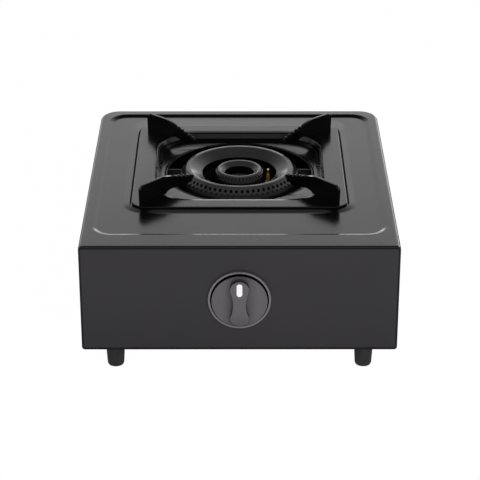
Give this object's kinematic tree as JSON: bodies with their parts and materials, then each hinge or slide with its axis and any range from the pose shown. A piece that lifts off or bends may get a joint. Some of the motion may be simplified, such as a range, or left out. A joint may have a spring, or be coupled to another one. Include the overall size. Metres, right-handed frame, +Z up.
{
  "type": "single burner gas stove",
  "caption": "Tabletop gas stove: enamelled pressed top over a sheet body, ported ring burner with centre cap, lift-off toothed pan support, push-and-turn knob, rubber feet",
  "frame": {"origin": "on the table, under the middle of the whole stove's box, hose spigot and knob included", "axes": "+X right as seen from the knob, +Y from the knob to the back wall, +Z up"},
  "size_m": [0.3, 0.3836, 0.1521],
  "materials": {
    "enamel": "gloss black vitreous enamel",
    "panel_paint": "satin dark grey paint",
    "cast_iron": "satin blackened casting",
    "zinc_steel": "bright zinc plate",
    "black_steel": "black plated screws",
    "brass": "machined brass",
    "valve_alloy": "die cast",
    "foot_rubber": "matte black rubber",
    "gasket": "matte",
    "igniter_plastic": "moulded black",
    "lead_silicone": "red silicone sleeve",
    "insulator_ceramic": "glazed white",
    "bezel_metal": "satin grey metal",
    "knob_plastic": "satin grey",
    "indicator_white": "smooth white"
  },
  "bodies": {
    "chassis": {"top_panel": "enamel", "front_panel": "panel_paint", "body_shell": "panel_paint", "casing_screws": "zinc_steel", "foot_front_left": "foot_rubber", "foot_front_right": "foot_rubber", "foot_rear_left": "foot_rubber", "foot_rear_right": "foot_rubber", "foot_screws": "zinc_steel", "burner_casting": "cast_iron", "bracket_left": "zinc_steel", "bracket_right": "zinc_steel", "bracket_screws": "black_steel", "burner_lug_screws": "zinc_steel", "ring_gas_jet": "brass", "cap_gas_jet": "brass", "valve_body": "valve_alloy", "valve_screws": "zinc_steel", "gas_pipe": "zinc_steel", "pipe_nut": "brass", "hose_inlet": "brass", "inlet_nut": "brass", "inlet_washer": "gasket", "piezo_igniter": "igniter_plastic", "ignition_lead": "lead_silicone", "electrode_insulator": "insulator_ceramic", "electrode_tip": "brass", "knob_bezel": "bezel_metal"},
    "valve_plug": {"valve_plug": "brass", "spindle_spring": "zinc_steel"},
    "knob": {"knob_dial": "knob_plastic", "knob_indicator": "indicator_white", "valve_spindle": "zinc_steel"},
    "pan_support": {"pan_support_frame": "enamel", "arm_front_left": "enamel", "arm_front_right": "enamel", "arm_rear_left": "enamel", "arm_rear_right": "enamel"},
    "burner_ring": {"burner_ring": "cast_iron"},
    "centre_cap": {"burner_centre_cap": "cast_iron"},
    "ring_shutter": {"ring_air_shutter": "zinc_steel"},
    "cap_shutter": {"cap_air_shutter": "zinc_steel"}
  },
  "joints": [
    {"name": "knob_turn", "type": "hinge", "parent": "chassis", "child": "valve_plug", "pos_m": [0, -0.15925, 0.077], "axis": [0, -1, 0], "range_deg": [0, 180]},
    {"name": "knob_push", "type": "slide", "parent": "valve_plug", "child": "knob", "axis": [0, 1, 0], "range_m": [0, 0.0025], "stiffness_N_per_m": 800, "springref_m": -0.002, "deforming": ["spindle_spring"]},
    {"name": "pan_support_lift", "type": "slide", "parent": "chassis", "child": "pan_support", "axis": [0, 0, 1], "range_m": [0, 0.06]},
    {"name": "burner_ring_lift", "type": "slide", "parent": "chassis", "child": "burner_ring", "axis": [0, 0, 1], "range_m": [0, 0.04]},
    {"name": "centre_cap_lift", "type": "slide", "parent": "chassis", "child": "centre_cap", "axis": [0, 0, 1], "range_m": [0, 0.03]},
    {"name": "ring_shutter_turn", "type": "hinge", "parent": "chassis", "child": "ring_shutter", "pos_m": [-0.028, -0.12025, 0.077], "axis": [0, -1, 0], "range_deg": [0, 45]},
    {"name": "cap_shutter_turn", "type": "hinge", "parent": "chassis", "child": "cap_shutter", "pos_m": [0.009, -0.12025, 0.077], "axis": [0, -1, 0], "range_deg": [0, 45]}
  ]
}
